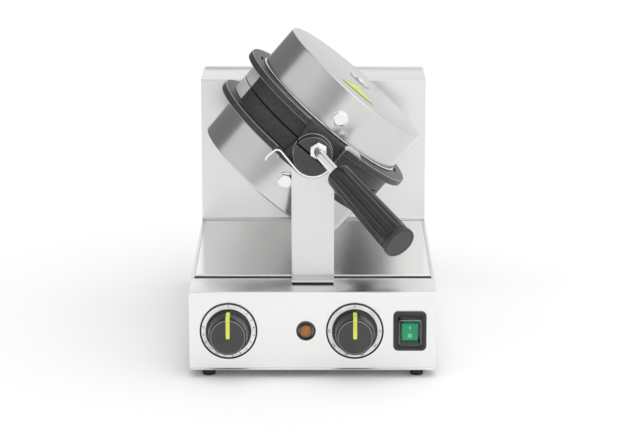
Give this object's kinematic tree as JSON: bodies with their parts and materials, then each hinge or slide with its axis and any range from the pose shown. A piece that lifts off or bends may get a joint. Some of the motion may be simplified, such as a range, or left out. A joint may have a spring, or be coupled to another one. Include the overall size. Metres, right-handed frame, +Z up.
{
  "type": "waffle cone maker",
  "caption": "Rotating electric waffle cone iron: two hinged round cast plates with steel drum covers turn in a cradle on a stainless stand with dials and a switch.",
  "frame": {"origin": "middle of the whole machine's box, on the worktop", "axes": "+Z up, -Y towards the user, +X to the user's right"},
  "size_m": [0.25, 0.4894, 0.3305],
  "materials": {
    "stainless_sheet": "fine brushed stainless sheet",
    "bright_steel": "bright spun and brushed stainless",
    "plain_steel": "plain turned steel",
    "cast_iron": "matte sand-cast surface, seasoned dark",
    "foot_rubber": "matte moulded rubber",
    "bronze": "sintered bronze",
    "dial_silver": "silver-grey printed plate",
    "pale_plastic": "moulded heat-proof plastic",
    "black_plastic": "fine-grained black moulding",
    "grip_black": "polished black phenolic",
    "lime": "yellow-green ink or inlay",
    "amber_lens": "amber lens",
    "green_rocker": "green rocker",
    "clear_cover": "clear flexible splash cover with a faint green tint"
  },
  "bodies": {
    "stand": {"front_panel": "stainless_sheet", "left_base_side": "stainless_sheet", "left_column_side": "stainless_sheet", "right_base_side": "stainless_sheet", "right_column_side": "stainless_sheet", "bottom_plate": "stainless_sheet", "rear_cover": "stainless_sheet", "deck_plate": "stainless_sheet", "splash_panel": "stainless_sheet", "foot_front_left": "foot_rubber", "foot_front_right": "foot_rubber", "foot_rear_left": "foot_rubber", "foot_rear_right": "foot_rubber", "front_post": "stainless_sheet", "post_gasket": "foot_rubber", "cradle_strip": "bright_steel", "bearing_housing": "plain_steel", "bearing_bush": "bronze", "timer_dial_plate": "dial_silver", "timer_body": "pale_plastic", "thermostat_dial_plate": "dial_silver", "thermostat_body": "pale_plastic", "limit_thermostat": "pale_plastic", "pilot_bezel": "black_plastic", "pilot_lens": "amber_lens", "switch_bezel": "black_plastic", "switch_cover": "clear_cover", "switch_housing": "black_plastic", "terminal_block": "pale_plastic", "cable_gland": "black_plastic"},
    "turning_iron": {"lower_casting": "cast_iron", "lower_drum": "bright_steel", "lower_heater": "plain_steel", "lower_drum_bolt": "bright_steel", "lower_drum_screw": "bright_steel", "hinge_yoke": "cast_iron", "hinge_pin": "bright_steel", "rear_shaft": "plain_steel", "shaft_collar": "plain_steel"},
    "lid": {"upper_casting": "cast_iron", "upper_drum": "bright_steel", "upper_heater": "plain_steel", "upper_drum_bolt": "bright_steel", "upper_drum_screw": "bright_steel", "hinge_tongue": "cast_iron", "handle_nut": "bright_steel", "handle_rod": "bright_steel", "handle_grip": "grip_black", "handle_end_cap": "grip_black", "heat_marker": "lime"},
    "timer_dial": {"timer_knob": "black_plastic", "timer_pointer": "lime", "timer_shaft": "plain_steel"},
    "thermostat_dial": {"thermostat_knob": "black_plastic", "thermostat_pointer": "lime", "thermostat_shaft": "plain_steel"},
    "power_rocker": {"switch_rocker": "green_rocker"}
  },
  "joints": [
    {"name": "iron_turn", "type": "hinge", "parent": "stand", "child": "turning_iron", "pos_m": [0, 0.00671, 0.2203], "axis": [0, -1, 0], "range_deg": [-139.4, 40.6]},
    {"name": "lid_open", "type": "hinge", "parent": "turning_iron", "child": "lid", "pos_m": [0.01692, 0.13071, 0.24004], "axis": [-0.7593, 0, 0.6508], "range_deg": [0, 78]},
    {"name": "timer_turn", "type": "hinge", "parent": "stand", "child": "timer_dial", "pos_m": [-0.0851, -0.18129, 0.0498], "axis": [0, 1, 0], "range_deg": [0, 300]},
    {"name": "thermostat_turn", "type": "hinge", "parent": "stand", "child": "thermostat_dial", "pos_m": [0.0426, -0.18129, 0.0498], "axis": [0, 1, 0], "range_deg": [0, 270]},
    {"name": "switch_tip", "type": "hinge", "parent": "stand", "child": "power_rocker", "pos_m": [0.0983, -0.15979, 0.0498], "axis": [-1, 0, 0], "range_deg": [0, 14]}
  ]
}
